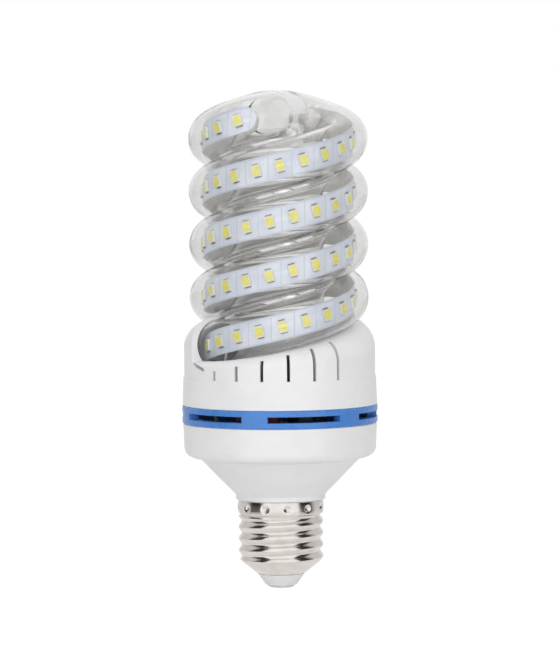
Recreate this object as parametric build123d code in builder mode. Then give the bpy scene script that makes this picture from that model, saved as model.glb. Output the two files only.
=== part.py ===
from build123d import *
from math import asin, atan, cos, degrees, pi, radians, sin, sqrt, tan
import os

# A spiral LED bulb, standing on its screw cap. Millimetres, +Z up along the bulb's axis.
# The origin is the middle of the centre contact's face, and -Y is the front.

# Clear tube, wound as a double right-handed helix
tube_od = 15.0
tube_wall = 1.0
turn_gap = 0.8               # daylight between neighbouring turns
coil_radius = 20.2           # bulb's axis to the tube's centreline
coil_seat_height = 73.8      # centreline above the contact, where each strand leaves its socket
coil_rise_angle = 760.0      # how far a strand winds between its socket and the bend at the top
tube_tail_angle = 15.0       # how far each end reaches back past its socket
bend_tangent = 15.0          # tangent length of the bend into the bridge

# LED strips, one in each strand, facing outward
strip_width = 7.8
strip_thickness = 0.4
strip_seat = 2.6             # its back, outward of the tube's centreline
strip_tail_angle = 19.0      # how far a strip reaches back past its socket
strip_bend_angle = 46.0      # how much of the top bend it follows, before its flat round end
led_length = 2.8
led_width = 3.5
led_height = 0.8
led_window_length = 2.4
led_window_width = 2.7
led_window_depth = 0.3
led_pitch_angle = 17.55
led_first_angle_a = 22.4
led_first_angle_b = 17.2
solder_gap = 0.05
dab_clearance = 0.05         # glue that holds a strip's free end, to the bore
dab_angle = 30.0
dab_sink = 1.4               # how far the glue runs behind the strip's end
dab_round = 1.2

# Upper housing, whose top is two helical ramps
side_radius = 29.6
side_draft = 0.55            # how far the wall drafts out down to its foot
ledge_drop = 8.1             # below the coil's seat; the wall steps in by the ledge above this
ledge = 0.2
upper_foot_height = 56.9
upper_wall = 1.8
rim_round = 0.35             # where the housings meet the vent ring
core_radius = 11.5
shoulder_radius = 8.0
ramp_edge_radius = 1.0       # the edge's rounding where a ramp starts
mouth_angle = 25.0           # where a strand comes out of its hood
tube_nest = 3.0              # how deep the tube is nested at the mouth
nest_fade = 6                # how soon that fades up the ramp
tube_clearance = 0.1
socket_wall = 1.5
socket_length_angle = 27.0
seam = 0.05                  # keeps the walls just inside the ramps' edge rounding
edge_overlap = 0.5           # how far a cut runs past the surface it opens
overlap_angle = 1.0
nest_run_out = 20.0
ramp_steps = 10

# Vents through the ramps' outer edges
vent_count = 6
vent_first_angle = 47.5
vent_step_angle = 15.9
vent_width = 1.0
vent_depth = 5.2
vent_first_length = 2.9      # above the ledge
vent_growth = 1.7            # each vent is longer than the one before
slit_angle = 32.5
slit_length = 6.6
slit_height = 1.0
slit_depth = 4.0
slit_drop = 4.25             # below the coil's seat
slit_tilt = 17.0

# Vent ring between the housings
ring_proud = 0.1             # how far it stands out from the housings
ring_height = 5.6
ring_round = 0.5
ring_slot_count = 6
ring_slot_angle = 44.5
ring_slot_height = 1.9
ring_slot_middle = 15.0      # middle of the first slot, from the front
front_angle = 270.0
tongue_wall = 1.0
tongue_height = 1.8
tongue_clearance = 0.1

# Lower housing, down to the neck that carries the cap
rim_inset = 0.15             # how far the rim stands back from the upper housing's foot
rim_height = 0.5
heel_inset = 0.3
lower_heel_height = 43.9
heel_round = 3.2
underside_run = 1.6          # nearly level part between the heel and the cone
underside_drop = 0.4
collar_height = 1.6
collar_overhang = 0.75       # how far the collar stands out over the cap
collar_step = 0.2
collar_edge = 0.3
lower_wall = 1.8
neck_length = 4.0            # how far the neck reaches into the cap
neck_wall = 1.4
neck_clearance = 0.1

# Screw cap
shell_top_height = 27.6
shell_wall = 0.5
skirt_radius = 13.15
bead_radius = 13.35
bead_rise = 2.2              # from its middle to the shell's rim, and down to its foot
groove_step = 0.6            # below the bead's foot
thread_crest_radius = 13.15
thread_root_radius = 12.3
thread_pitch = 3.63
thread_foot_height = 10.1
thread_turns = 3.05
thread_width = 2.9
thread_start_angle = 10.0
root_foot_height = 8.6
cone_shoulder_radius = 11.6
cone_shoulder_height = 7.8
shell_tip_radius = 7.3
shell_tip_height = 4.3
insulator_neck_clearance = 0.1
insulator_tip_radius = 5.3
insulator_tip_height = 1.5
insulator_foot_radius = 4.9
insulator_depth = 8.0
contact_radius = 4.2
contact_flat_radius = 3.4
contact_seat_height = 0.9
rivet_radius = 1.2
rivet_head = 0.6
rivet_bore_radius = 0.5

# Driver board and what it carries
board_clearance = 1.3        # to the lower housing's inside
board_thickness = 1.6
board_rise = 2.1             # underside, above the heel's rounding
board_post_count = 3
board_post_radius = 2.2
board_post_inset = 4.1
board_post_angle = 30.0
input_can_place = (7.5, -13.0)
input_can_radius = 5.0
input_can_length = 14.0
output_can_place = (-9.0, 11.0)
output_can_radius = 4.0
output_can_length = 11.0
can_round = 0.6
film_place = (-7.0, -14.0)
film_length = 13.0
film_width = 6.0
film_height = 11.0
inductor_place = (10.0, 9.0)
core_flange_radius = 5.0
core_flange_thickness = 1.5
core_waist_radius = 2.4
core_length = 10.0
winding_clearance = 0.1
winding_margin = 0.6
rectifier_place = (13.0, -2.0)
rectifier_length = 4.7
rectifier_width = 3.9
rectifier_height = 2.4
chip_place = (-3.0, 0.0)
chip_length = 4.9
chip_width = 3.9
chip_height = 1.6
resistor_drop = 6.0
resistor_radius = 2.0
resistor_length = 9.0
lead_radius = 0.4
lead_clearance = 0.05
lead_bend = 2.0
shell_lead_start = 8.0
shell_lead_step = 3.0        # below the neck's foot, where the lead turns down again
shell_lead_drop = 6.0        # straight part above and below the neck's foot
strip_lead_radius = 0.45
strip_lead_spacing = 4.4
strip_lead_reach = 5.0
strip_lead_inset = 1.2       # from the board's edge, at least

# Values that follow from the sizes above
helix_angle = degrees(asin((tube_od + turn_gap) / (pi * coil_radius)))
coil_pitch = 2 * pi * coil_radius * tan(radians(helix_angle))
tube_radius = tube_od / 2
bore_radius = tube_radius - tube_wall
tube_half_rise = tube_radius / cos(radians(helix_angle))
housing_top_height = (coil_seat_height + coil_pitch * (0.5 + mouth_angle / 360)
                      - tube_half_rise - tube_clearance)
ledge_height = coil_seat_height - ledge_drop
slit_middle_height = coil_seat_height - slit_drop
foot_radius = side_radius + side_draft
ring_radius = foot_radius + ring_proud
ring_foot_height = upper_foot_height - ring_height
lower_rim_radius = foot_radius - rim_inset
lower_heel_radius = lower_rim_radius - heel_inset
cone_top_radius = lower_heel_radius - heel_round - underside_run
cone_top_height = lower_heel_height - heel_round - underside_drop
collar_radius = skirt_radius + collar_overhang
cone_foot_radius = collar_radius + collar_step
cone_foot_height = shell_top_height + collar_height
bead_height = shell_top_height - bead_rise
bead_foot_height = bead_height - bead_rise
groove_height = bead_foot_height - groove_step
neck_foot_height = shell_top_height - neck_length
neck_radius = skirt_radius - shell_wall - neck_clearance
insulator_neck_radius = shell_tip_radius - shell_wall - insulator_neck_clearance
board_height = lower_heel_height + board_rise
board_top = board_height + board_thickness
board_radius = lower_heel_radius - lower_wall - board_clearance
board_post_ring = board_radius - board_post_inset

os.makedirs("parts", exist_ok=True)


def turned(radius, angle, height):
    """A point at a radius and an angle about the bulb's axis."""
    return Vector(radius * cos(radians(angle)), radius * sin(radians(angle)), height)


def strand_height(angle):
    """Centreline height of a strand, at an angle counted from its socket."""
    return coil_seat_height + coil_pitch * angle / 360


def strand_tangent(angle, start):
    """Direction in which a strand that starts at an angle climbs."""
    level = turned(1, start + angle + 90, 0) * cos(radians(helix_angle))
    return level + Vector(0, 0, sin(radians(helix_angle)))


def strand_frame(angle, start, outward=0.0):
    """Plane square to a strand, with its x axis pointing away from the bulb's axis."""
    origin = turned(coil_radius + outward, start + angle, strand_height(angle))
    return Plane(origin=origin, x_dir=turned(1, start + angle, 0), z_dir=strand_tangent(angle, start))


def helix_path(pitch, rise, radius, start, foot):
    """A right-handed helix about the bulb's axis, from an angle and a height."""
    with BuildLine() as path:
        Helix(pitch=pitch, height=rise, radius=radius)
    return path.line.moved(Location((0, 0, foot), (0, 0, start)))


def strand_path(first, last, start):
    """Centreline of a strand between two angles counted from its socket."""
    rise = coil_pitch * (last - first) / 360
    return helix_path(coil_pitch, rise, coil_radius, start + first, strand_height(first))


def ramp_shoulder(angle):
    """Rounding of a ramp's outer edge, growing from its mouth to its top."""
    share = sin(radians(90 * (angle - mouth_angle) / 180))
    return ramp_edge_radius + (shoulder_radius - ramp_edge_radius) * share


def ramp_floor(angle):
    """Height of a ramp's floor under its strand, which is nested deeper near the mouth."""
    share = 1 - (angle - mouth_angle) / 180
    return strand_height(angle) - tube_half_rise - tube_clearance + tube_nest * share ** nest_fade


def ramp_section(angle, start, wall):
    """What a ramp cuts away in the plane through the bulb's axis, or that grown by a wall."""
    floor = ramp_floor(angle)
    shoulder = max(ramp_shoulder(angle), wall + ramp_edge_radius / 2)
    reach = foot_radius + edge_overlap
    ceiling = housing_top_height + shoulder_radius
    centre = (side_radius - shoulder, floor - shoulder)
    plane = Plane(origin=(0, 0, 0), x_dir=turned(1, start + angle, 0), z_dir=turned(1, start + angle - 90, 0))
    with BuildSketch(plane) as section:
        with BuildLine():
            inner = Line((core_radius - wall, ceiling), (core_radius - wall, floor - wall))
            ledge_line = Line(inner @ 1, (centre[0], floor - wall))
            round_edge = CenterArc(centre, shoulder - wall, 0, 90)
            outer = Line(round_edge @ 0, (reach, centre[1]))
            Polyline(outer @ 1, (reach, ceiling), inner @ 0)
        make_face()
    return section.sketch


def ramp_cut(start, wall):
    """Everything above a ramp, from its mouth to where the other ramp's mouth begins."""
    first = mouth_angle - degrees(wall / coil_radius)
    last = mouth_angle + 180 + overlap_angle
    angles = [first + (last - first) * step / ramp_steps for step in range(ramp_steps + 1)]
    with BuildPart() as cut:
        loft(sections=[ramp_section(angle, start, wall) for angle in angles])
    return cut.part


def disc(plane, radius, hole=0.0):
    """A round section, hollow if it has a hole."""
    with BuildSketch(plane) as section:
        Circle(radius)
        if hole:
            Circle(hole, mode=Mode.SUBTRACT)
    return section.sketch


def strip_section(plane, width, thickness, seat):
    """A strip's section, off centre in its tube and facing outward."""
    with BuildSketch(plane) as section:
        with Locations((seat + thickness / 2, 0)):
            Rectangle(thickness, width)
    return section.sketch


def bend_values(start):
    """Axis, radius and turn of the bend from a strand into the bridge, and where it ends."""
    frame = strand_frame(coil_rise_angle, start)
    corner = frame.origin + frame.z_dir * bend_tangent
    inward = Vector(-corner.X, -corner.Y, 0).normalized()
    turn = frame.z_dir.get_angle(inward)
    radius = bend_tangent / tan(radians(turn / 2))
    normal = frame.z_dir.cross(inward).normalized()
    centre = frame.origin + normal.cross(frame.z_dir) * radius
    return Axis(centre, normal), radius, turn, corner + inward * bend_tangent, inward


def on_bend(plane, start, swept):
    """A plane at a strand's top, carried round the bend by an angle."""
    axis = bend_values(start)[0]
    spin = Axis((0, 0, 0), axis.direction)
    origin = axis.position + (plane.origin - axis.position).rotate(spin, swept)
    return Plane(origin=origin, x_dir=plane.x_dir.rotate(spin, swept), z_dir=plane.z_dir.rotate(spin, swept))


def led_planes(start, first_angle):
    """Seats of a strip's light-emitting diodes, up the strand and round the bend."""
    outward = strip_seat + strip_thickness + solder_gap
    bend_radius = bend_values(start)[1]
    bend_ratio = (coil_radius + strip_seat) / (bend_radius + strip_seat)
    last_angle = coil_rise_angle + strip_bend_angle / bend_ratio
    planes = []
    for place in range(int((last_angle - first_angle) / led_pitch_angle) + 1):
        angle = first_angle + place * led_pitch_angle
        frame = strand_frame(min(angle, coil_rise_angle), start, outward)
        if angle > coil_rise_angle:
            frame = on_bend(frame, start, (angle - coil_rise_angle) * bend_ratio)
        planes.append(Plane(origin=frame.origin, x_dir=frame.z_dir, z_dir=frame.x_dir))
    return planes


def finish(piece, name):
    """Name a piece and write its file."""
    piece.label = name
    export_step(piece, f"parts/{name}.step")


# Each strand's name, where its socket stands and its first diode
strands = {
    "a": (180.0, led_first_angle_a),
    "b": (0.0, led_first_angle_b),
}

# Clear tube: two strands, each bent in at the top to one bridge across the axis
with BuildPart() as glass_spiral:
    for start, first_led in strands.values():
        tail_frame = strand_frame(-tube_tail_angle, start)
        tail_path = strand_path(-tube_tail_angle, coil_rise_angle, start)
        sweep(sections=disc(tail_frame, tube_radius, bore_radius), path=tail_path, is_frenet=True)
        bend_axis, bend_radius, bend_turn, bridge_end, inward = bend_values(start)
        top_frame = strand_frame(coil_rise_angle, start)
        revolve(profiles=disc(top_frame, tube_radius, bore_radius), axis=bend_axis, revolution_arc=bend_turn)
    bridge_length = 2 * sqrt(bridge_end.X ** 2 + bridge_end.Y ** 2)
    extrude(to_extrude=disc(Plane(origin=bridge_end, z_dir=inward), tube_radius, bore_radius),
            amount=bridge_length)
finish(glass_spiral.part, "glass_spiral")

# Aluminium-backed strips, their diodes and the glue at their free ends
for side, (start, first_led) in strands.items():
    strip_frame = strand_frame(-strip_tail_angle, start)
    strip_path = strand_path(-strip_tail_angle, coil_rise_angle, start)
    top_frame = strand_frame(coil_rise_angle, start)
    bend_axis = bend_values(start)[0]
    with BuildPart() as led_strip:
        sweep(sections=strip_section(strip_frame, strip_width, strip_thickness, strip_seat),
              path=strip_path, is_frenet=True)
        revolve(profiles=strip_section(top_frame, strip_width, strip_thickness, strip_seat),
                axis=bend_axis, revolution_arc=strip_bend_angle)
        bent = on_bend(strand_frame(coil_rise_angle, start, strip_seat), start, strip_bend_angle)
        with BuildSketch(Plane(origin=bent.origin, x_dir=bent.z_dir, z_dir=bent.x_dir)):
            Circle(strip_width / 2)
            Rectangle(strip_width, strip_width, align=(Align.MIN, Align.CENTER), mode=Mode.INTERSECT)
        extrude(amount=strip_thickness)
    finish(led_strip.part, f"led_strip_{side}")

    seats = led_planes(start, first_led)
    with BuildPart() as led_packages:
        with Locations(*seats):
            Box(led_length, led_width, led_height, align=(Align.CENTER, Align.CENTER, Align.MIN))
        with Locations(*[seat.offset(led_height - led_window_depth) for seat in seats]):
            Box(led_window_length, led_window_width, led_window_depth,
                align=(Align.CENTER, Align.CENTER, Align.MIN), mode=Mode.SUBTRACT)
    finish(led_packages.part, f"led_packages_{side}")

    with BuildPart() as led_windows:
        with Locations(*[seat.offset(led_height - led_window_depth) for seat in seats]):
            Box(led_window_length, led_window_width, led_window_depth,
                align=(Align.CENTER, Align.CENTER, Align.MIN))
    finish(led_windows.part, f"led_windows_{side}")

    with BuildPart() as strip_dab:
        end_angle = degrees(atan((strip_width / 2) / (bend_values(start)[1] + strip_seat)))
        with BuildSketch(on_bend(top_frame, start, strip_bend_angle + end_angle)):
            Circle(bore_radius - dab_clearance)
            with Locations((strip_seat - dab_sink, 0)):
                Rectangle(tube_od, tube_od, align=(Align.MIN, Align.CENTER), mode=Mode.INTERSECT)
        revolve(axis=bend_axis, revolution_arc=dab_angle)
        fillet(strip_dab.edges(), radius=dab_round)
    finish(strip_dab.part, f"strip_dab_{side}")

# Upper housing's cavity: the turned inside, less the ramps' underside and the sockets
with BuildPart() as upper_cavity:
    with BuildSketch(Plane.XZ):
        with BuildLine():
            inside_radius = side_radius - upper_wall - seam
            Polyline((0, upper_foot_height), (foot_radius - upper_wall, upper_foot_height),
                     (side_radius + ledge - upper_wall, ledge_height), (inside_radius, ledge_height),
                     (inside_radius, housing_top_height - upper_wall), (0, housing_top_height - upper_wall),
                     close=True)
        make_face()
    revolve(axis=Axis.Z)
    for start, first_led in strands.values():
        add(ramp_cut(start, upper_wall), mode=Mode.SUBTRACT)
        socket_foot = mouth_angle - socket_length_angle
        sweep(sections=disc(strand_frame(socket_foot, start), tube_radius + tube_clearance + socket_wall),
              path=strand_path(socket_foot, mouth_angle, start), is_frenet=True, mode=Mode.SUBTRACT)

# Upper housing: a turned cap, its top cut into two ramps that the strands climb
with BuildPart() as upper_housing:
    with BuildSketch(Plane.XZ):
        with BuildLine():
            wall_radius = side_radius - seam
            outline = Polyline((0, housing_top_height), (0, upper_foot_height),
                               (foot_radius, upper_foot_height), (side_radius + ledge, ledge_height),
                               (wall_radius, ledge_height), (wall_radius, housing_top_height - shoulder_radius))
            shoulder_arc = CenterArc((wall_radius - shoulder_radius, housing_top_height - shoulder_radius),
                                     shoulder_radius, 0, 90)
            Line(shoulder_arc @ 1, outline @ 0)
        cap_face = make_face()
        fillet(cap_face.vertices().group_by(Axis.Y)[0].sort_by(Axis.X)[-1], radius=rim_round)
    revolve(axis=Axis.Z)
    for start, first_led in strands.values():
        add(ramp_cut(start, 0), mode=Mode.SUBTRACT)
    add(upper_cavity.part, mode=Mode.SUBTRACT)
    for start, first_led in strands.values():
        nest_first = -tube_tail_angle - overlap_angle
        nest_last = 180 + mouth_angle + nest_run_out
        sweep(sections=disc(strand_frame(nest_first, start), tube_radius + tube_clearance),
              path=strand_path(nest_first, nest_last, start), is_frenet=True, mode=Mode.SUBTRACT)
        for place in range(vent_count):
            vent_angle = start + vent_first_angle + place * vent_step_angle
            with BuildSketch(Plane.XY.offset(ledge_height)):
                with PolarLocations(side_radius - vent_depth / 2, 1, vent_angle):
                    Rectangle(vent_depth, vent_width)
            extrude(amount=vent_first_length + place * vent_growth, mode=Mode.SUBTRACT)
        slit_along = turned(1, start + slit_angle + 90, -tan(radians(slit_tilt)))
        with BuildSketch(Plane(origin=turned(side_radius, start + slit_angle, slit_middle_height),
                               x_dir=slit_along, z_dir=turned(1, start + slit_angle, 0))):
            SlotOverall(slit_length, slit_height)
        extrude(amount=slit_depth, both=True, mode=Mode.SUBTRACT)
finish(upper_housing.part, "upper_housing")

# Vent ring: a hoop with tongues that locate both housings, and slots right through
tongue_radius = min(foot_radius - upper_wall, lower_rim_radius - lower_wall) - tongue_clearance
tongue_inside = tongue_radius - tongue_wall
ring_middle = ring_foot_height + ring_height / 2
with BuildPart() as vent_ring:
    with BuildSketch(Plane.XZ):
        with Locations((tongue_inside, ring_middle)):
            hoop = Rectangle(ring_radius - tongue_inside, ring_height, align=(Align.MIN, Align.CENTER))
            fillet(hoop.vertices().group_by(Axis.X)[-1], radius=ring_round)
            Rectangle(tongue_wall, ring_height + 2 * tongue_height, align=(Align.MIN, Align.CENTER))
    revolve(axis=Axis.Z)
    for place in range(ring_slot_count):
        slot_start = front_angle + ring_slot_middle + place * 360 / ring_slot_count - ring_slot_angle / 2
        with BuildSketch(Plane(origin=(0, 0, ring_middle), x_dir=turned(1, slot_start, 0),
                               z_dir=turned(1, slot_start - 90, 0))):
            with Locations((tongue_inside - edge_overlap, 0)):
                Rectangle(ring_radius - tongue_inside + 2 * edge_overlap, ring_slot_height,
                          align=(Align.MIN, Align.CENTER))
        revolve(axis=Axis.Z, revolution_arc=ring_slot_angle, mode=Mode.SUBTRACT)
finish(vent_ring.part, "vent_ring")

# Lower housing: a shell from the rim round the heel and down the cone, with the neck and board posts
with BuildPart() as lower_housing:
    with BuildSketch(Plane.XZ):
        with BuildLine():
            rim = Polyline((lower_rim_radius, ring_foot_height), (lower_rim_radius, ring_foot_height - rim_height),
                           (lower_heel_radius, lower_heel_height))
            heel = CenterArc((lower_heel_radius - heel_round, lower_heel_height), heel_round, 0, -90)
            Polyline(heel @ 1, (cone_top_radius, cone_top_height), (cone_foot_radius, cone_foot_height),
                     (collar_radius, cone_foot_height - collar_edge), (collar_radius, shell_top_height))
            offset(amount=lower_wall, side=Side.RIGHT, kind=Kind.INTERSECTION)
        shell_face = make_face()
        fillet(shell_face.vertices().group_by(Axis.Y)[-1].sort_by(Axis.X)[-1], radius=rim_round)
    revolve(axis=Axis.Z)
    with BuildSketch(Plane.XY.offset(neck_foot_height)):
        Circle(neck_radius)
        Circle(neck_radius - neck_wall, mode=Mode.SUBTRACT)
    extrude(amount=cone_foot_height - neck_foot_height)
    with BuildSketch(Plane.XY.offset(board_height)):
        with PolarLocations(board_post_ring, board_post_count, start_angle=board_post_angle):
            Circle(board_post_radius)
    extrude(until=Until.NEXT, dir=(0, 0, -1))
finish(lower_housing.part, "lower_housing")

# Screw shell: a rolled sheet cup with a bead, a rounded thread and a cone that holds the insulator
with BuildPart() as screw_shell:
    with BuildSketch(Plane.XZ):
        with BuildLine():
            lip = Line((skirt_radius, shell_top_height), (skirt_radius, shell_top_height - shell_wall))
            bead = ThreePointArc(lip @ 1, (bead_radius, bead_height), (skirt_radius, bead_foot_height))
            Polyline(bead @ 1, (thread_root_radius, groove_height), (thread_root_radius, root_foot_height),
                     (cone_shoulder_radius, cone_shoulder_height), (shell_tip_radius, shell_tip_height))
            offset(amount=shell_wall, side=Side.RIGHT, kind=Kind.INTERSECTION)
        make_face()
    revolve(axis=Axis.Z)
    thread_rise = min(thread_pitch * thread_turns, groove_height - thread_width / 2 - thread_foot_height)
    thread_path = helix_path(thread_pitch, thread_rise, thread_root_radius, thread_start_angle, thread_foot_height)
    with BuildSketch(Plane(origin=(0, 0, thread_foot_height), x_dir=turned(1, thread_start_angle, 0),
                           z_dir=turned(1, thread_start_angle - 90, 0))) as ridge:
        with BuildLine():
            foot = (thread_root_radius - shell_wall / 2, thread_width / 2)
            crest = ThreePointArc(foot, (thread_crest_radius, 0), (foot[0], -foot[1]))
            Line(crest @ 1, crest @ 0)
        make_face()
    sweep(sections=ridge.sketch, path=thread_path, is_frenet=True)
finish(screw_shell.part, "screw_shell")

# Insulator, moulded in the shell's open tip
with BuildPart() as cap_insulator:
    with BuildSketch(Plane.XZ):
        with BuildLine():
            Polyline((rivet_radius, contact_seat_height), (insulator_foot_radius, contact_seat_height),
                     (insulator_tip_radius, insulator_tip_height), (shell_tip_radius, shell_tip_height),
                     (insulator_neck_radius, shell_tip_height), (insulator_neck_radius, insulator_depth),
                     (rivet_radius, insulator_depth), close=True)
        make_face()
    revolve(axis=Axis.Z)
finish(cap_insulator.part, "cap_insulator")

# Centre contact: a pressed disc with a hollow rivet up through the insulator
with BuildPart() as centre_contact:
    with BuildSketch(Plane.XZ):
        with BuildLine():
            Polyline((0, 0), (contact_flat_radius, 0), (contact_radius, contact_seat_height / 2),
                     (contact_radius, contact_seat_height), (rivet_radius, contact_seat_height),
                     (rivet_radius, insulator_depth + rivet_head), (rivet_bore_radius, insulator_depth + rivet_head),
                     (rivet_bore_radius, contact_seat_height), (0, contact_seat_height), close=True)
        make_face()
    revolve(axis=Axis.Z)
finish(centre_contact.part, "centre_contact")

# Driver board on its posts
with BuildPart() as driver_board:
    with BuildSketch(Plane.XY.offset(board_height)):
        Circle(board_radius)
    extrude(amount=board_thickness)
finish(driver_board.part, "driver_board")

# Parts on the board
with BuildPart() as input_capacitor:
    with BuildSketch(Plane.XY.offset(board_top)):
        with Locations(input_can_place):
            Circle(input_can_radius)
    extrude(amount=input_can_length)
    fillet(input_capacitor.edges().filter_by(GeomType.CIRCLE), can_round)
finish(input_capacitor.part, "input_capacitor")

with BuildPart() as output_capacitor:
    with BuildSketch(Plane.XY.offset(board_top)):
        with Locations(output_can_place):
            Circle(output_can_radius)
    extrude(amount=output_can_length)
    fillet(output_capacitor.edges().filter_by(GeomType.CIRCLE), can_round)
finish(output_capacitor.part, "output_capacitor")

with BuildPart() as film_capacitor:
    with BuildSketch(Plane.XY.offset(board_top)):
        with Locations(film_place):
            Rectangle(film_length, film_width)
    extrude(amount=film_height)
    fillet(film_capacitor.edges().filter_by(Axis.Z), can_round)
finish(film_capacitor.part, "film_capacitor")

with BuildPart() as inductor_core:
    with BuildSketch(Plane.XY.offset(board_top)):
        with Locations(inductor_place):
            Circle(core_flange_radius)
    extrude(amount=core_length)
    with BuildSketch(Plane.XY.offset(board_top + core_flange_thickness)):
        with Locations(inductor_place):
            Circle(core_flange_radius)
            Circle(core_waist_radius, mode=Mode.SUBTRACT)
    extrude(amount=core_length - 2 * core_flange_thickness, mode=Mode.SUBTRACT)
finish(inductor_core.part, "inductor_core")

with BuildPart() as inductor_winding:
    with BuildSketch(Plane.XY.offset(board_top + core_flange_thickness + winding_clearance)):
        with Locations(inductor_place):
            Circle(core_flange_radius - winding_margin)
            Circle(core_waist_radius + winding_clearance, mode=Mode.SUBTRACT)
    extrude(amount=core_length - 2 * core_flange_thickness - 2 * winding_clearance)
finish(inductor_winding.part, "inductor_winding")

with BuildPart() as bridge_rectifier:
    with BuildSketch(Plane.XY.offset(board_top)):
        with Locations(rectifier_place):
            Rectangle(rectifier_length, rectifier_width)
    extrude(amount=rectifier_height)
finish(bridge_rectifier.part, "bridge_rectifier")

with BuildPart() as driver_chip:
    with BuildSketch(Plane.XY.offset(board_top)):
        with Locations(chip_place):
            Rectangle(chip_length, chip_width)
    extrude(amount=chip_height)
finish(driver_chip.part, "driver_chip")

# Fusible resistor, hung under the board on the lead that runs to the centre contact
with BuildPart() as fusible_resistor:
    with BuildSketch(Plane.XY.offset(board_height - resistor_drop)):
        Circle(resistor_radius)
    extrude(amount=-resistor_length)
    fillet(fusible_resistor.edges().filter_by(GeomType.CIRCLE), can_round)
    with BuildSketch(Plane.XY.offset(board_height)):
        Circle(lead_radius)
    extrude(amount=-resistor_drop)
finish(fusible_resistor.part, "fusible_resistor")

with BuildPart() as contact_lead:
    with BuildSketch(Plane.XY.offset(board_height - resistor_drop - resistor_length)):
        Circle(lead_radius)
    extrude(amount=-(board_height - resistor_drop - resistor_length - contact_seat_height))
finish(contact_lead.part, "contact_lead")


def wire_along(points, radius, bend):
    """A round wire through points in space, its corners rounded."""
    with BuildLine() as route:
        FilletPolyline(*points, radius=bend)
    start_plane = Plane(origin=route.line @ 0, z_dir=route.line % 0)
    with BuildPart() as wire:
        sweep(sections=disc(start_plane, radius), path=route.line, transition=Transition.RIGHT)
    return wire.part


# Lead from the board, round the neck's foot, to the shell's inside
shell_lead_radius = thread_root_radius - shell_wall - lead_radius - lead_clearance
shell_lead_points = [
    (shell_lead_start, 0, board_height),
    (shell_lead_start, 0, neck_foot_height + shell_lead_drop),
    (shell_lead_radius, 0, neck_foot_height - shell_lead_step),
    (shell_lead_radius, 0, neck_foot_height - shell_lead_drop),
]
shell_lead = wire_along(shell_lead_points, lead_radius, lead_bend)
finish(shell_lead, "shell_lead")

# Each strip's pair of leads, from its lower end down to the board
for side, (start, first_led) in strands.items():
    strip_end = strand_frame(-strip_tail_angle, start, strip_seat)
    with BuildPart() as strip_leads:
        for place in (-1, 1):
            first = strip_end.origin + strip_end.y_dir * place * strip_lead_spacing / 2
            second = first - strip_end.z_dir * strip_lead_reach
            reach = sqrt(second.X ** 2 + second.Y ** 2)
            inward = min(reach, board_radius - strip_lead_inset) / reach
            second = Vector(second.X * inward, second.Y * inward, second.Z)
            third = Vector(second.X, second.Y, board_top)
            add(wire_along([first, second, third], strip_lead_radius, lead_bend))
    finish(strip_leads.part, f"strip_leads_{side}")
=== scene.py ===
from math import asin, atan2, cos, degrees, pi, radians, sin, sqrt, tan
import bmesh
import bpy
from mathutils import Matrix, Vector, noise


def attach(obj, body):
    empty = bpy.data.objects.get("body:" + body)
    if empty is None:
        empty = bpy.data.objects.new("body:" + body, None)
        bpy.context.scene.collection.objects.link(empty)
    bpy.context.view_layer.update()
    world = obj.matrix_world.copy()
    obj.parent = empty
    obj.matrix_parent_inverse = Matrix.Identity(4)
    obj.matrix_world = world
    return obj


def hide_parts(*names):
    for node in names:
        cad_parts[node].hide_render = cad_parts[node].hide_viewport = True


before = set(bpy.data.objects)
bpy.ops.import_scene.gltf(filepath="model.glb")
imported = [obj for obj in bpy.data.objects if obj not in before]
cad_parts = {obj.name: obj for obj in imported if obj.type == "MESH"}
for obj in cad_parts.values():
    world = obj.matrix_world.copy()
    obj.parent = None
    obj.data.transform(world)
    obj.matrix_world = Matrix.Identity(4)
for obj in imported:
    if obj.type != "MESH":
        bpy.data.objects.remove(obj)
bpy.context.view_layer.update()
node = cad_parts

# Clear tube: 15 mm outside and 13 mm inside, wound hot as a double right-handed helix whose two strands are
# bent in at the top and joined by a short straight bridge. It is drawn clear, faintly grey and a little wavy.
tube_outside = 0.0075
tube_bore = 0.0065
turn_gap = 0.0008
coil_radius = 0.0202
climb = asin((2 * tube_outside + turn_gap) / (pi * coil_radius))
coil_pitch = 2 * pi * coil_radius * tan(climb)
socket_height = 0.0738
wound_angle = 760
tail_angle = 15
bend_tangent = 0.015
tube_sides = 48
tube_every = 5.0
full_turn = 360
strands = (("a", 180.0), ("b", 0.0))
glass_tint = (0.88, 0.88, 0.876, 1)
glass_shade = (0.99, 0.99, 0.99, 1)


def placed(angle, start, outward=0.0):
    """A strand's frame at an angle from its socket: x away from the bulb's axis, z up along the strand."""
    turn = radians(start + angle)
    away = Vector((cos(turn), sin(turn), 0))
    along = Vector((-sin(turn) * cos(climb), cos(turn) * cos(climb), sin(climb)))
    turned = Matrix((away, along.cross(away), along)).transposed().to_4x4()
    place = away * (coil_radius + outward) + Vector((0, 0, socket_height + coil_pitch * angle / full_turn))
    return Matrix.Translation(place) @ turned


def top_bend(start):
    """Centre, axis and angle of the bend from a strand into the bridge."""
    top = placed(wound_angle, start)
    along = top.to_3x3() @ Vector((0, 0, 1))
    corner = top.translation + along * bend_tangent
    inward = Vector((-corner.x, -corner.y, 0)).normalized()
    turn = along.angle(inward)
    axis = along.cross(inward).normalized()
    centre = top.translation + axis.cross(along) * bend_tangent / tan(turn / 2)
    return centre, axis, degrees(turn)


def bent(angle, start, outward=0.0):
    """A strand's topmost frame, carried round the bend by an angle."""
    centre, axis, _ = top_bend(start)
    round_bend = Matrix.Rotation(radians(angle), 4, axis)
    carried = Matrix.Translation(centre) @ round_bend @ Matrix.Translation(-centre)
    return carried @ placed(wound_angle, start, outward)


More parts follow.
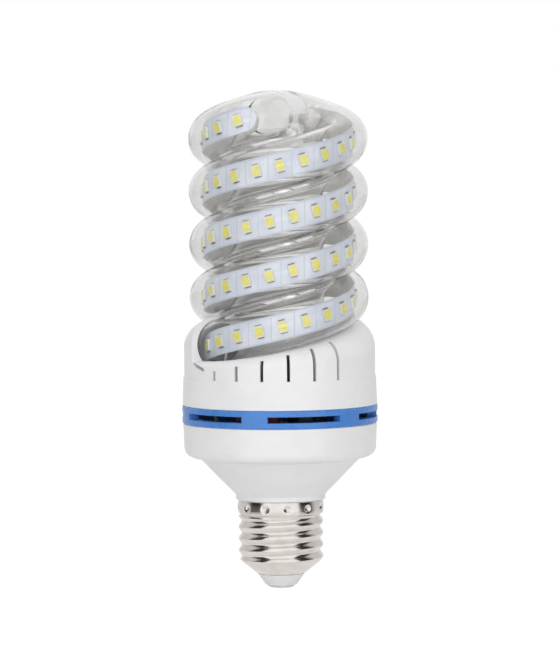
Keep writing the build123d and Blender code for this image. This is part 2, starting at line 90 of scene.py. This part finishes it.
def wind(bm, geom, first, last, every):
    """Winds an outline up a strand from one angle to another, and gives its last station."""
    steps = round((last - first) / every)
    rise = coil_pitch * (last - first) / full_turn / steps
    spun = bmesh.ops.spin(bm, geom=geom, cent=(0, 0, 0), axis=(0, 0, 1), dvec=(0, 0, rise),
                          angle=radians(last - first), steps=steps, use_merge=False, use_duplicate=False)
    return spun["geom_last"]


def bend(bm, geom, start, angle, every):
    """Carries an outline round the top bend by an angle, and gives its last station."""
    centre, axis, _ = top_bend(start)
    spun = bmesh.ops.spin(bm, geom=geom, cent=centre, axis=axis, dvec=(0, 0, 0), angle=radians(angle),
                          steps=round(angle / every), use_merge=False, use_duplicate=False)
    return spun["geom_last"]


def piece_from(bm, name, replaces=(), smooth=True):
    """Ends a bmesh as a named piece that rides on the bulb."""
    mesh = bpy.data.meshes.new(name)
    bm.to_mesh(mesh)
    bm.free()
    made = bpy.data.objects.new(name, mesh)
    bpy.context.scene.collection.objects.link(made)
    if smooth:
        mesh.shade_smooth()
    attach(made, "root")
    if replaces:
        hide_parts(*replaces)
    return made


def edges_of(geom):
    """The edges in a list of a bmesh's parts."""
    return [g for g in geom if isinstance(g, bmesh.types.BMEdge)]


bm = bmesh.new()
bridge_ends = []
for _, start in strands:
    ring = bmesh.ops.create_circle(bm, cap_ends=False, radius=tube_outside, segments=tube_sides,
                                   matrix=placed(-tail_angle, start))["verts"]
    ring_edges = list({e for v in ring for e in v.link_edges})
    top = wind(bm, ring + ring_edges, -tail_angle, wound_angle, tube_every)
    bridge_ends += edges_of(bend(bm, top, start, top_bend(start)[2], tube_every))
bmesh.ops.bridge_loops(bm, edges=bridge_ends)
bmesh.ops.recalc_face_normals(bm, faces=bm.faces)
clear_tube = piece_from(bm, "clear_tube", ["glass_spiral"])
wall = clear_tube.modifiers.new("wall", "SOLIDIFY")
wall.thickness = tube_outside - tube_bore
wall.offset = -1
wall.use_even_offset = True


def finish_of(name):
    """A new node material, with its tree and its main shader."""
    made = bpy.data.materials.new(name)
    made.use_nodes = True
    tree = made.node_tree
    return made, tree, tree.nodes["Principled BSDF"]


def add_node(tree, kind, **values):
    """A node in a material's tree, with some of its sockets or settings set."""
    made = tree.nodes.new(kind)
    for key, value in values.items():
        if hasattr(made, key):
            setattr(made, key, value)
        else:
            made.inputs[key.replace("_", " ")].default_value = value
    return made


def reckon(tree, operation, *values):
    """A maths node on numbers and other nodes' outputs."""
    made = add_node(tree, "ShaderNodeMath", operation=operation)
    for socket, value in zip(made.inputs, values):
        if isinstance(value, (int, float)):
            socket.default_value = value
        else:
            tree.links.new(value, socket)
    return made.outputs[0]


def grain(tree, scale, detail=3.0):
    """Noise on the piece's own coordinates, so many to the metre."""
    place = tree.nodes.new("ShaderNodeTexCoord")
    speckle = add_node(tree, "ShaderNodeTexNoise", Scale=scale, Detail=detail)
    tree.links.new(place.outputs["Object"], speckle.inputs["Vector"])
    return speckle.outputs["Fac"]


def spread(tree, fac, low, high, begins=0.3, ends=0.7):
    """Maps part of a pattern's range to a range of values."""
    ranged = add_node(tree, "ShaderNodeMapRange", From_Min=begins, From_Max=ends, To_Min=low, To_Max=high)
    tree.links.new(fac, ranged.inputs["Value"])
    return ranged.outputs["Result"]


def relief(tree, shader, fac, depth, strength):
    """Turns a pattern into a bump of a depth in metres."""
    bump = add_node(tree, "ShaderNodeBump", Strength=strength, Distance=depth)
    tree.links.new(fac, bump.inputs["Height"])
    tree.links.new(bump.outputs["Normal"], shader.inputs["Normal"])


def mix_shaders(tree, share, first, second):
    """Ends a material's tree with a mix of two shaders."""
    mixed = tree.nodes.new("ShaderNodeMixShader")
    tree.links.new(share, mixed.inputs["Fac"])
    tree.links.new(first.outputs[0], mixed.inputs[1])
    tree.links.new(second.outputs[0], mixed.inputs[2])
    tree.links.new(mixed.outputs[0], tree.nodes["Material Output"].inputs["Surface"])


glass, tree, shader = finish_of("drawn clear tube")
shader.inputs["Transmission Weight"].default_value = 1.0
shader.inputs["IOR"].default_value = 1.46
shader.inputs["Base Color"].default_value = glass_tint
tree.links.new(spread(tree, grain(tree, scale=260), low=0.0, high=0.03), shader.inputs["Roughness"])
relief(tree, shader, grain(tree, scale=55, detail=1.0), depth=0.0004, strength=0.35)
let_light_in = add_node(tree, "ShaderNodeBsdfTransparent", Color=glass_shade)
ray = tree.nodes.new("ShaderNodeLightPath")
lit = reckon(tree, "MAXIMUM", ray.outputs["Is Shadow Ray"], ray.outputs["Is Diffuse Ray"])
mix_shaders(tree, lit, shader, let_light_in)
clear_tube.data.materials.append(glass)

# LED strips: aluminium-backed board, 7.8 mm wide and 0.4 mm thick, bent to the helix with its lit face
# outward. The front is white solder resist over copper lands, the back is bare, the free end is half round.
strip_width = 0.0078
strip_thickness = 0.0004
strip_seat = 0.0026
strip_tail = 19
strip_bend = 46
strip_every = 3.0
round_steps = 12
strip_weld = 0.00001
facing_out = 0.5
diode_pitch = 17.55
first_diode = {"a": 22.4, "b": 17.2}
land_gap = (0.465, 0.48)
land_edge = (0.42, 0.44)
bare_resist = (0.66, 0.70, 0.82)


def two_tones(tree, fac, dark, light):
    """Blends two colours by a pattern's middle range."""
    ramp = tree.nodes.new("ShaderNodeValToRGB")
    for stop, position, colour in zip(ramp.color_ramp.elements, (0.35, 0.65), (dark, light)):
        stop.position, stop.color = position, (*colour, 1)
    tree.links.new(fac, ramp.inputs["Fac"])
    return ramp.outputs["Color"]


def blend(tree, share, first, second):
    """Mixes two colours, each a plain colour or another node's output."""
    made = add_node(tree, "ShaderNodeMix", data_type="RGBA")
    for socket, colour in ((made.inputs["A"], first), (made.inputs["B"], second)):
        if isinstance(colour, tuple):
            socket.default_value = (*colour, 1)
        else:
            tree.links.new(colour, socket)
    tree.links.new(share, made.inputs["Factor"])
    return made.outputs["Result"]


resist, tree, shader = finish_of("white resist")
along_strip = add_node(tree, "ShaderNodeUVMap", uv_map="strip")
split = tree.nodes.new("ShaderNodeSeparateXYZ")
tree.links.new(along_strip.outputs["UV"], split.inputs[0])
between_lands = spread(tree, reckon(tree, "PINGPONG", split.outputs["X"], 0.5), 0.0, 1.0, *land_gap)
beside_lands = spread(tree, reckon(tree, "ABSOLUTE", split.outputs["Y"]), 0.0, 1.0, *land_edge)
no_land = reckon(tree, "MAXIMUM", between_lands, beside_lands)
over_land = two_tones(tree, grain(tree, scale=160), dark=(0.72, 0.77, 0.88), light=(0.84, 0.88, 0.95))
tree.links.new(blend(tree, no_land, over_land, bare_resist), shader.inputs["Base Color"])
tree.links.new(spread(tree, grain(tree, scale=2500), low=0.30, high=0.40), shader.inputs["Roughness"])
relief(tree, shader, no_land, depth=-0.00003, strength=0.6)


def mottled(name, dark, light, patches, smooth, rough, pits, metallic=0.0):
    """A finish whose colour drifts between two tones, and its roughness between two values."""
    made, tree, shader = finish_of(name)
    shader.inputs["Metallic"].default_value = metallic
    tree.links.new(two_tones(tree, grain(tree, scale=patches), dark, light), shader.inputs["Base Color"])
    tree.links.new(spread(tree, grain(tree, scale=pits), smooth, rough), shader.inputs["Roughness"])
    return made, tree, shader


strip_back, _, _ = mottled("bare strip back", dark=(0.76, 0.75, 0.72), light=(0.85, 0.84, 0.81),
                           patches=500, smooth=0.35, rough=0.5, pits=3000, metallic=0.3)

for side, start in strands:
    bm = bmesh.new()
    section = placed(-strip_tail, start, strip_seat + strip_thickness / 2)
    flat = Matrix.Diagonal((strip_thickness / 2, strip_width / 2, 1, 1))
    corners = bmesh.ops.create_grid(bm, x_segments=1, y_segments=1, size=1.0, matrix=section @ flat)["verts"]
    outline = corners + list(corners[0].link_faces[0].edges)
    last = wind(bm, outline, -strip_tail, wound_angle, strip_every)
    last = bend(bm, last, start, strip_bend, strip_every)
    end_frame = bent(strip_bend, start, strip_seat)
    for step in range(1, round_steps + 1):
        before, now = (pi / 2 * s / round_steps for s in (step - 1, step))
        last = bmesh.ops.extrude_edge_only(bm, edges=edges_of(last))["geom"]
        moved = [v for v in last if isinstance(v, bmesh.types.BMVert)]
        bmesh.ops.scale(bm, vec=(1, cos(now) / cos(before), 1), space=end_frame.inverted(), verts=moved)
        ahead = end_frame.to_3x3() @ Vector((0, 0, strip_width / 2 * (sin(now) - sin(before))))
        bmesh.ops.translate(bm, vec=ahead, verts=moved)
    bmesh.ops.remove_doubles(bm, verts=bm.verts, dist=strip_weld)
    bmesh.ops.recalc_face_normals(bm, faces=bm.faces)
    bm.normal_update()
    strip_uv = bm.loops.layers.uv.new("strip")
    for f in bm.faces:
        middle = f.calc_center_median()
        away = Vector((middle.x, middle.y, 0)).normalized()
        f.material_index = 0 if f.normal.dot(away) > facing_out else 1
        for loop in f.loops:
            place = loop.vert.co
            turn = (degrees(atan2(place.y, place.x)) - start) % full_turn
            climbed = (place.z - socket_height) / coil_pitch * full_turn
            turn += full_turn * round((climbed - turn) / full_turn)
            across = (climbed - turn) / full_turn * coil_pitch * cos(climb) / strip_width
            loop[strip_uv].uv = ((turn - first_diode[side]) / diode_pitch, across)
    strip = piece_from(bm, f"strip_{side}", [f"led_strip_{side}"], smooth=False)
    strip.data.materials.append(resist)
    strip.data.materials.append(strip_back)


# Diodes: moulded white packages, 2.8 by 3.5 mm, each with a yellow resin window, soldered across the strip
# at every 17.55 degrees of the winding.

def coat(name, finish):
    """Gives a CAD node its finish."""
    node[name].data.materials.clear()
    node[name].data.materials.append(finish)


package, _, _ = mottled("moulded package", dark=(0.80, 0.80, 0.78), light=(0.86, 0.86, 0.84),
                        patches=1500, smooth=0.3, rough=0.42, pits=2600)
resin_window, _, shader = mottled("yellow resin", dark=(0.90, 0.82, 0.13), light=(0.96, 0.90, 0.28),
                                  patches=700, smooth=0.18, rough=0.3, pits=2600)
shader.inputs["Subsurface Weight"].default_value = 0.2
shader.inputs["Subsurface Radius"].default_value = (0.0006, 0.0005, 0.0002)
shader.inputs["Subsurface Scale"].default_value = 1.0
for side, _ in strands:
    coat(f"led_packages_{side}", package)
    coat(f"led_windows_{side}", resin_window)

# Solder: a fillet coloured dark brown at both ends of each diode, where its terminals meet the copper. It went
# on as paste and was melted in an oven, so each fillet narrows towards its top.
fillet_length = 0.0021
fillet_width = 0.00035
fillet_height = 0.00045
fillet_taper = 0.6
diode_length = 0.0035

solder, _, _ = mottled("dark brown solder", dark=(0.28, 0.22, 0.19), light=(0.42, 0.36, 0.32),
                       patches=1200, smooth=0.35, rough=0.5, pits=2500, metallic=0.7)

for side, start in strands:
    bm = bmesh.new()
    bend_radius = (top_bend(start)[0] - placed(wound_angle, start).translation).length
    bend_ratio = (coil_radius + strip_seat) / (bend_radius + strip_seat)
    diode = first_diode[side]
    while diode <= wound_angle + strip_bend / bend_ratio:
        if diode <= wound_angle:
            seat = placed(diode, start, strip_seat + strip_thickness)
        else:
            seat = bent((diode - wound_angle) * bend_ratio, start, strip_seat + strip_thickness)
        for end in (-1, 1):
            lift = Matrix.Translation((fillet_height / 2, end * (diode_length + fillet_width) / 2, 0))
            shape = Matrix.Diagonal((fillet_length, fillet_width, fillet_height, 1))
            square = Matrix.Rotation(pi / 4, 4, "Z")
            bmesh.ops.create_cone(bm, cap_ends=True, segments=4, radius1=sqrt(0.5), depth=1,
                                  radius2=sqrt(0.5) * fillet_taper,
                                  matrix=seat @ lift @ Matrix.Rotation(pi / 2, 4, "Y") @ shape @ square)
        diode += diode_pitch
    bmesh.ops.recalc_face_normals(bm, faces=bm.faces)
    joints = piece_from(bm, f"diode_solder_{side}", smooth=False)
    joints.data.materials.append(solder)

# Glue at the strips' free ends: a dab of translucent silicone about 8 mm across, on the back of each strip,
# that holds its end in the bore. It set as it fell, so it is a little lumpy.
dab_bend = 49
dab_inward = -0.0012
dab_half = (0.0037, 0.0040, 0.0041)
dab_lumps = ((0.12, 1.6), (0.03, 5.0))

silicone, tree, shader = mottled("silicone dab", dark=(0.88, 0.85, 0.84), light=(0.96, 0.94, 0.93),
                                 patches=260, smooth=0.06, rough=0.2, pits=900)
shader.inputs["IOR"].default_value = 1.41
shader.inputs["Transmission Weight"].default_value = 0.12
relief(tree, shader, grain(tree, scale=500, detail=1.0), depth=0.0004, strength=0.6)

for side, start in strands:
    bm = bmesh.new()
    bmesh.ops.create_icosphere(bm, subdivisions=5, radius=1.0)
    for v in bm.verts:
        v.co *= 1 + sum(height * noise.noise(v.co * often) for height, often in dab_lumps)
    bmesh.ops.scale(bm, vec=dab_half, verts=bm.verts)
    bmesh.ops.transform(bm, matrix=bent(dab_bend, start, dab_inward), verts=bm.verts)
    dab = piece_from(bm, f"glue_dab_{side}", [f"strip_dab_{side}"])
    dab.data.materials.append(silicone)

# Upper housing: one moulding in white plastic, satin, with vents and with two hooded ramps that the strands
# climb out of. The vent ring joins it to the lower housing.
white_plastic, tree, shader = mottled("white moulded plastic", dark=(0.84, 0.84, 0.85),
                                      light=(0.87, 0.87, 0.88), patches=120, smooth=0.28, rough=0.38, pits=1800)
relief(tree, shader, grain(tree, scale=2400), depth=0.00001, strength=0.4)
coat("upper_housing", white_plastic)

# Vent ring: a hoop moulded in blue plastic, with six slots that let the driver's heat out. It is clipped
# between the two housings.
blue_plastic, _, _ = mottled("blue moulded plastic", dark=(0.066, 0.225, 0.62), light=(0.08, 0.255, 0.69),
                             patches=150, smooth=0.26, rough=0.30, pits=400)
coat("vent_ring", blue_plastic)

# Lower housing: a moulding in the same white plastic, from the ring down the cone to the collar above the cap.
# Posts inside it carry the driver board, and the screw shell is crimped to its neck.
coat("lower_housing", white_plastic)

# Screw shell: thin brass sheet, drawn and rolled to a round thread, then nickel plated. Crimps pressed in near
# its rim hold it to the neck, and its tip is rolled to a cone round the insulator.
shell_steps = 120
thread_pitch = 0.00363
thread_crest = 0.01315
thread_root = 0.0122
thread_bottom = 0.0089
thread_top = 0.0222
thread_turns = 6
thread_below = 1.5
wave_steps = 12
wave_fullness = 0.8
skirt = ((thread_root, 0.0228), (0.0129, 0.0231), (0.01315, 0.0234), (0.01329, 0.0243), (0.01335, 0.0254),
         (0.01329, 0.0265), (0.01315, 0.0273), (0.0130, 0.0276))
skirt_plain = 2
skirt_cuts = 3
foot = ((thread_root, 0.0083), (0.0120, 0.0080), (0.0116, 0.0077), (0.0105, 0.00685), (0.0094, 0.00597),
        (0.0083, 0.0051), (0.0075, 0.00446), (0.0072, 0.0043))
crimp_count = 12
crimp_height = 0.0252
crimp_first = radians(-81)
crimp_radius = 0.0014
crimp_depth = 0.0008
shell_thickness = 0.0003
shell_weld = 0.000005
hair = 0.000001


def drawn_line(bm, points):
    """A chain of edges in the bulb's front half plane, from radii and heights."""
    chain = [bm.verts.new((0, -radius, height)) for radius, height in points]
    return chain, [bm.edges.new(pair) for pair in zip(chain, chain[1:])]


bm = bmesh.new()
wave = []
for step in range(wave_steps + 1):
    share = step / wave_steps
    swell = 0.5 - 0.5 * cos(2 * pi * share)
    wave.append((thread_root + (thread_crest - thread_root) * swell ** wave_fullness,
                 thread_bottom + thread_pitch * (share - thread_below)))
chain, links = drawn_line(bm, wave)
bmesh.ops.spin(bm, geom=chain + links, cent=(0, 0, 0), axis=(0, 0, 1), dvec=(0, 0, thread_pitch / shell_steps),
               angle=2 * pi * thread_turns, steps=shell_steps * thread_turns, use_merge=False,
               use_duplicate=False)
bmesh.ops.remove_doubles(bm, verts=bm.verts, dist=shell_weld)
for height, up in ((thread_top, 1), (thread_bottom, -1)):
    bmesh.ops.bisect_plane(bm, geom=bm.verts[:] + bm.edges[:] + bm.faces[:], dist=hair,
                           plane_co=(0, 0, height), plane_no=(0, 0, up), clear_outer=True)
thread_middle = (thread_top + thread_bottom) / 2
rims = [e for e in bm.edges if e.is_boundary]
top_rim = [e for e in rims if e.verts[0].co.z > thread_middle]
foot_rim = [e for e in rims if e.verts[0].co.z < thread_middle]
for profile, rim, steps in ((skirt, top_rim, 2 * shell_steps), (foot, foot_rim, shell_steps)):
    chain, links = drawn_line(bm, profile)
    if profile is skirt:
        bmesh.ops.subdivide_edges(bm, edges=links[skirt_plain:], cuts=skirt_cuts)
        chain = [v for v in bm.verts if not v.link_faces]
        links = [e for e in bm.edges if not e.link_faces]
    bmesh.ops.spin(bm, geom=chain + links, cent=(0, 0, 0), axis=(0, 0, 1), dvec=(0, 0, 0), angle=2 * pi,
                   steps=steps, use_merge=True, use_duplicate=False)
    ring = [e for e in bm.edges if e.is_boundary
            and all(abs(v.co.z - profile[0][1]) < hair for v in e.verts)]
    bmesh.ops.bridge_loops(bm, edges=rim + ring)
skirt_verts = [v for v in bm.verts if v.co.z > thread_top]
for crimp in range(crimp_count):
    turn = crimp_first + 2 * pi * crimp / crimp_count
    outward = Vector((cos(turn), sin(turn), 0))
    centre = thread_crest * outward + Vector((0, 0, crimp_height))
    for v in skirt_verts:
        share = (v.co - centre).length / crimp_radius
        if share < 1:
            bmesh.ops.translate(bm, verts=[v], vec=-crimp_depth * (1 - share ** 2) ** 2 * outward)
bmesh.ops.recalc_face_normals(bm, faces=bm.faces)
screw_shell = piece_from(bm, "rolled_shell", ["screw_shell"])
sheet = screw_shell.modifiers.new("sheet", "SOLIDIFY")
sheet.thickness = shell_thickness
sheet.offset = -1

nickel, tree, shader = mottled("nickel plate", dark=(0.80, 0.75, 0.71), light=(0.88, 0.83, 0.79),
                               patches=300, smooth=0.10, rough=0.18, pits=1500, metallic=1.0)
relief(tree, shader, grain(tree, scale=900), depth=0.00003, strength=0.5)
screw_shell.data.materials.append(nickel)

# Insulator and centre contact: white moulding in the shell's tip, with a tinned disc riveted through it.
insulation, _, _ = mottled("white insulation", dark=(0.93, 0.93, 0.95), light=(0.95, 0.95, 0.97),
                           patches=300, smooth=0.25, rough=0.35, pits=1500)
tinned, _, _ = mottled("tinned contact", dark=(0.66, 0.65, 0.64), light=(0.76, 0.75, 0.73),
                       patches=600, smooth=0.2, rough=0.4, pits=1500, metallic=1.0)
coat("cap_insulator", insulation)
coat("centre_contact", tinned)

# Driver board and its parts, shut in the housing: brown paper laminate, black sleeves and mouldings, dark red
# dipped film, ferrite, enamelled copper, a coated resistor and pale sleeved leads. Name, two tones, roughness.
for name, dark, light, rough, metallic in (
    ("driver_board", (0.40, 0.30, 0.13), (0.50, 0.38, 0.18), 0.5, 0.0),
    ("input_capacitor", (0.010, 0.010, 0.014), (0.02, 0.02, 0.026), 0.3, 0.0),
    ("output_capacitor", (0.010, 0.010, 0.014), (0.02, 0.02, 0.026), 0.3, 0.0),
    ("film_capacitor", (0.16, 0.02, 0.012), (0.22, 0.03, 0.02), 0.35, 0.0),
    ("inductor_core", (0.02, 0.02, 0.02), (0.04, 0.04, 0.04), 0.6, 0.0),
    ("inductor_winding", (0.40, 0.13, 0.04), (0.52, 0.19, 0.07), 0.3, 0.8),
    ("bridge_rectifier", (0.012, 0.012, 0.012), (0.025, 0.025, 0.025), 0.45, 0.0),
    ("driver_chip", (0.012, 0.012, 0.012), (0.025, 0.025, 0.025), 0.45, 0.0),
    ("fusible_resistor", (0.14, 0.24, 0.20), (0.20, 0.32, 0.27), 0.4, 0.0),
    ("contact_lead", (0.50, 0.49, 0.47), (0.62, 0.61, 0.58), 0.4, 0.0),
    ("shell_lead", (0.50, 0.49, 0.47), (0.62, 0.61, 0.58), 0.4, 0.0),
    ("strip_leads_a", (0.62, 0.61, 0.60), (0.72, 0.71, 0.70), 0.4, 0.0),
    ("strip_leads_b", (0.62, 0.61, 0.60), (0.72, 0.71, 0.70), 0.4, 0.0),
):
    finish, _, _ = mottled(name.replace("_", " "), dark, light, patches=500, smooth=rough - 0.06,
                           rough=rough + 0.06, pits=1500, metallic=metallic)
    coat(name, finish)

# Studio: a pale floor and a soft surround that is white in front and pale behind. It is dark to both sides in
# what shines, which draws the dark bands on the cap. Soft lamps stand above, in front and low down.
bearing_levels = ((0.25, 1.0), (0.31, 0.03), (0.47, 0.03), (0.58, 0.62), (0.78, 0.62), (0.9, 0.8))
level_behind = 0.95
floor_radius = 6.0
floor_sides = 64
floor_colour = (0.86, 0.86, 0.86, 1)
floor_glow = 1.06
glow_share = 0.9
# Painted shade: the darker grey that the floor shows in reflections close under the bulb, and how far out it
# fades.
painted_underfoot_shade = (0.76, 0.76, 0.76)
painted_shade_reach = (0.05, 0.12)
soft_sides = 0.22
clear_sides = 0.65
lamps_aim = Vector((0, 0, 0.08))
white = (1.0, 1.0, 1.0)


def studio_round(tree, place):
    """Level of the studio by bearing: white in front, dark to the sides, pale behind."""
    split = tree.nodes.new("ShaderNodeSeparateXYZ")
    tree.links.new(place, split.inputs[0])
    forward = reckon(tree, "MULTIPLY", split.outputs["Y"], -1)
    bearing = reckon(tree, "ABSOLUTE", reckon(tree, "ARCTAN2", split.outputs["X"], forward))
    ramp = tree.nodes.new("ShaderNodeValToRGB")
    tree.links.new(reckon(tree, "DIVIDE", bearing, pi), ramp.inputs["Fac"])
    stops = ramp.color_ramp.elements
    stops[0].position, stops[0].color = 0.0, (*white, 1)
    stops[1].position, stops[1].color = 1.0, (level_behind, level_behind, level_behind, 1)
    for share, level in bearing_levels:
        stops.new(share).color = (level, level, level, 1)
    return ramp.outputs["Color"]


bm = bmesh.new()
bmesh.ops.create_circle(bm, cap_ends=True, radius=floor_radius, segments=floor_sides)
mesh = bpy.data.meshes.new("floor")
bm.to_mesh(mesh)
bm.free()
floor = bpy.data.objects.new("floor", mesh)
bpy.context.scene.collection.objects.link(floor)

pale, tree, shader = finish_of("pale floor")
shader.inputs["Base Color"].default_value = floor_colour
shader.inputs["Roughness"].default_value = 0.9
shader.inputs["Specular IOR Level"].default_value = 0.0
ray = tree.nodes.new("ShaderNodeLightPath")
on_floor = tree.nodes.new("ShaderNodeTexCoord")
reach = add_node(tree, "ShaderNodeVectorMath", operation="LENGTH")
tree.links.new(on_floor.outputs["Object"], reach.inputs[0])
# In reflections the floor glows with the surround's pattern, and close under the bulb with a darker grey that
# is painted shade.
away = spread(tree, reach.outputs["Value"], 0.0, 1.0, *painted_shade_reach)
mirrored_with_painted_shade = blend(tree, away, painted_underfoot_shade, studio_round(tree, on_floor.outputs["Object"]))
glow = add_node(tree, "ShaderNodeEmission", Strength=floor_glow)
tree.links.new(blend(tree, ray.outputs["Is Glossy Ray"], white, mirrored_with_painted_shade), glow.inputs["Color"])
seen = reckon(tree, "MAXIMUM", ray.outputs["Is Camera Ray"], ray.outputs["Is Glossy Ray"])
seen = reckon(tree, "MAXIMUM", seen, ray.outputs["Is Transmission Ray"])
mix_shaders(tree, reckon(tree, "MULTIPLY", seen, glow_share), shader, glow)
mesh.materials.append(pale)

world = bpy.data.worlds.new("studio")
bpy.context.scene.world = world
world.use_nodes = True
tree = world.node_tree
ray = tree.nodes.new("ShaderNodeLightPath")
facing = tree.nodes.new("ShaderNodeTexCoord")
around = studio_round(tree, facing.outputs["Generated"])
softened = blend(tree, reckon(tree, "MULTIPLY", ray.outputs["Is Diffuse Ray"], soft_sides), around, white)
through = reckon(tree, "MULTIPLY", ray.outputs["Is Transmission Ray"], clear_sides)
whitened = reckon(tree, "MAXIMUM", ray.outputs["Is Camera Ray"], through)
tree.links.new(blend(tree, whitened, softened, white), tree.nodes["Background"].inputs["Color"])

for name, place, size, power in (
    ("key", (-0.55, -1.1, 0.75), 0.7, 1.7),
    ("fill", (0.7, -1.0, 0.35), 0.7, 1.0),
    ("low", (0.1, -1.3, 0.06), 0.5, 1.8),
    ("top", (0.0, 0.0, 1.3), 0.6, 2.6),
):
    lamp = bpy.data.lights.new(name, "AREA")
    lamp.size = size
    lamp.energy = power
    held = bpy.data.objects.new(name, lamp)
    held.location = place
    held.visible_glossy = False
    toward = lamps_aim - Vector(place)
    held.rotation_euler = toward.to_track_quat("-Z", "Y").to_euler()
    bpy.context.scene.collection.objects.link(held)

# Camera: 1.2 m in front and near the height of the coil's top, looking about 3 degrees down. It was fitted to
# the bulb's outline in the photograph, and leans by half a degree.
eye = Vector((0.0002, -1.2, 0.147))
target = Vector((0.0002, 0, 0.0806))
lean = Matrix.Rotation(radians(-0.45), 4, "Z")
lens = bpy.data.cameras.new("camera")
lens.sensor_width = 36
lens.lens = 213.4
lens.clip_end = 50
camera = bpy.data.objects.new("camera", lens)
camera.rotation_mode = "QUATERNION"
camera.location = eye
looking = (target - eye).to_track_quat("-Z", "Y").to_matrix().to_4x4()
camera.rotation_quaternion = (looking @ lean).to_quaternion()
bpy.context.scene.collection.objects.link(camera)
bpy.context.scene.camera = camera
bpy.context.scene.view_settings.view_transform = "Standard"
